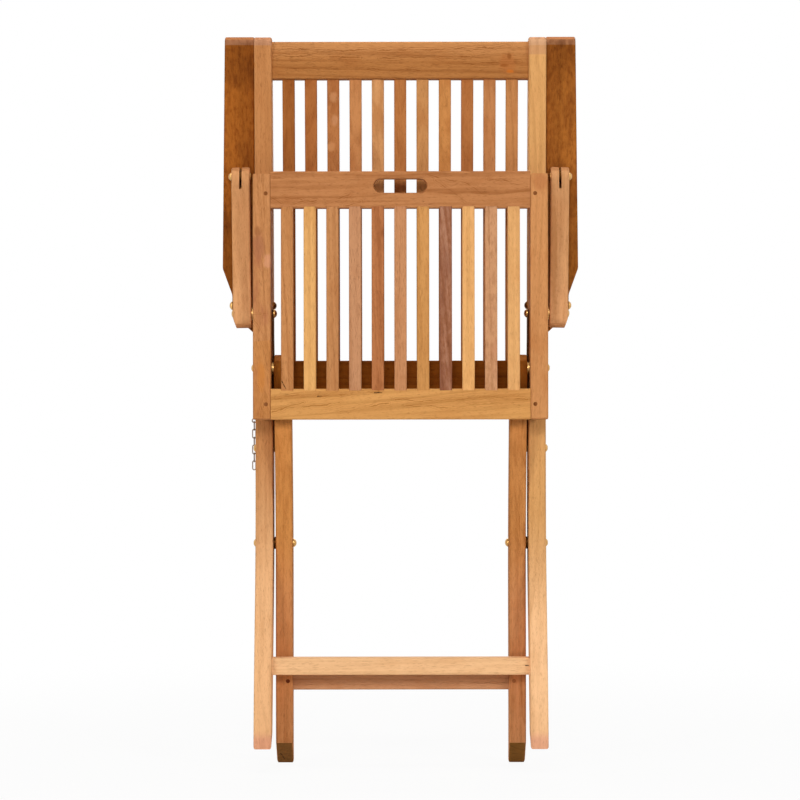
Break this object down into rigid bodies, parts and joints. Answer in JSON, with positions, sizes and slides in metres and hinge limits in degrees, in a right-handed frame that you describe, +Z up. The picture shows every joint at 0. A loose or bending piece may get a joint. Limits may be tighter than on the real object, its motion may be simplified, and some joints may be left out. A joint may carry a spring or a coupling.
{
  "type": "folding armchair",
  "caption": "Slatted teak armchair that folds flat, shown folded, with crossed legs, linked armrests and brass pivots.",
  "frame": {"origin": "on the ground under the middle of the folded chair, at the lowest edge of the rear legs", "axes": "+Z up, -Y towards the chair's front, where the folded seat lies, +X to the right of a viewer who faces the front"},
  "size_m": [0.528, 0.1015, 1.083],
  "materials": {
    "teak_tan": "oiled, satin",
    "teak_golden": "oiled, satin",
    "teak_honey": "oiled, satin",
    "teak_pinkish": "oiled, satin",
    "teak_reddish": "oiled, satin",
    "teak_dark": "oiled, satin",
    "teak_orange": "oiled, satin",
    "teak_pale": "oiled, satin",
    "brass": "brushed, slightly dulled",
    "link_steel": "dulled",
    "chain_zinc": "zinc plated"
  },
  "bodies": {
    "back_frame": {"back_stile_left": "teak_tan", "back_stile_right": "teak_golden", "back_top_rail": "teak_reddish", "back_low_rail": "teak_reddish", "front_stretcher": "teak_pale", "back_slat_01": "teak_dark", "back_slat_02": "teak_reddish", "back_slat_03": "teak_reddish", "back_slat_04": "teak_orange", "back_slat_05": "teak_tan", "back_slat_06": "teak_reddish", "back_slat_07": "teak_tan", "back_slat_08": "teak_tan", "back_slat_09": "teak_reddish", "back_slat_10": "teak_orange", "back_slat_11": "teak_orange", "arm_pivot_bolts": "brass", "arm_pivot_washers": "brass", "cross_bolts": "brass", "cross_washers": "link_steel", "link_pivot_bolts": "brass", "chain_eye": "chain_zinc"},
    "leg_frame": {"rear_leg_left": "teak_orange", "rear_leg_right": "teak_orange", "rear_stretcher": "teak_orange", "rear_leg_pegs": "teak_orange"},
    "seat": {"seat_side_rail_left": "teak_tan", "seat_side_rail_right": "teak_tan", "seat_front_rail": "teak_honey", "seat_handle_rail": "teak_orange", "seat_slat_01": "teak_tan", "seat_slat_02": "teak_golden", "seat_slat_03": "teak_tan", "seat_slat_04": "teak_pinkish", "seat_slat_05": "teak_reddish", "seat_slat_06": "teak_pinkish", "seat_slat_07": "teak_honey", "seat_slat_08": "teak_dark", "seat_slat_09": "teak_golden", "seat_slat_10": "teak_pinkish", "seat_slat_11": "teak_golden", "seat_pegs": "teak_honey", "seat_leg_bolts": "brass", "seat_leg_washers": "brass", "seat_sleeves": "brass"},
    "chain": {"lock_chain": "chain_zinc"},
    "arm_left": {"arm_left": "teak_dark", "arm_bracket_left": "brass", "arm_bracket_screws_left": "brass"},
    "strut_left": {"arm_strut_left": "teak_tan", "strut_fasteners_left": "brass"},
    "link_left": {"seat_link_left": "link_steel", "seat_link_nut_left": "brass"},
    "arm_right": {"arm_right": "teak_dark", "arm_bracket_right": "brass", "arm_bracket_screws_right": "brass"},
    "strut_right": {"arm_strut_right": "teak_tan", "strut_fasteners_right": "brass"},
    "link_right": {"seat_link_right": "link_steel", "seat_link_nut_right": "brass"}
  },
  "joints": [
    {"name": "leg_fold", "type": "hinge", "parent": "back_frame", "child": "leg_frame", "pos_m": [0, 0.02835, 0.33], "axis": [1, 0, 0], "range_deg": [0, 73.1]},
    {"name": "seat_fold", "type": "hinge", "parent": "leg_frame", "child": "seat", "pos_m": [0, -0.01765, 0.5895], "axis": [1, 0, 0], "range_deg": [-136.4, 0]},
    {"name": "link_swing_left", "type": "hinge", "parent": "back_frame", "child": "link_left", "pos_m": [-0.1873, 0.02835, 0.471], "axis": [1, 0, 0], "range_deg": [0, 98.2]},
    {"name": "arm_swing_left", "type": "hinge", "parent": "back_frame", "child": "arm_left", "pos_m": [-0.2332, 0.02635, 0.6832], "axis": [1, 0, 0], "range_deg": [0, 107.9]},
    {"name": "strut_swing_left", "type": "hinge", "parent": "arm_left", "child": "strut_left", "pos_m": [-0.2354, 0.00035, 0.8725], "axis": [1, 0, 0], "range_deg": [-107.3, 0]},
    {"name": "link_swing_right", "type": "hinge", "parent": "back_frame", "child": "link_right", "pos_m": [0.1873, 0.02835, 0.471], "axis": [1, 0, 0], "range_deg": [0, 98.2]},
    {"name": "arm_swing_right", "type": "hinge", "parent": "back_frame", "child": "arm_right", "pos_m": [0.2332, 0.02635, 0.6832], "axis": [1, 0, 0], "range_deg": [0, 107.9]},
    {"name": "strut_swing_right", "type": "hinge", "parent": "arm_right", "child": "strut_right", "pos_m": [0.2354, 0.00035, 0.8725], "axis": [1, 0, 0], "range_deg": [-107.3, 0]},
    {"name": "chain_swing", "type": "hinge", "parent": "back_frame", "child": "chain", "pos_m": [-0.2191, 0.04235, 0.5091], "axis": [1, 0, 0], "range_deg": [-5, 90]}
  ],
  "couplings": [
    {"joint": "seat_fold", "follows": "leg_fold", "ratio": -1.8653},
    {"joint": "link_swing_left", "follows": "leg_fold", "ratio": 1.342},
    {"joint": "arm_swing_left", "follows": "leg_fold", "ratio": 1.4748},
    {"joint": "strut_swing_left", "follows": "leg_fold", "ratio": -1.4666},
    {"joint": "link_swing_right", "follows": "leg_fold", "ratio": 1.342},
    {"joint": "arm_swing_right", "follows": "leg_fold", "ratio": 1.4748},
    {"joint": "strut_swing_right", "follows": "leg_fold", "ratio": -1.4666}
  ]
}
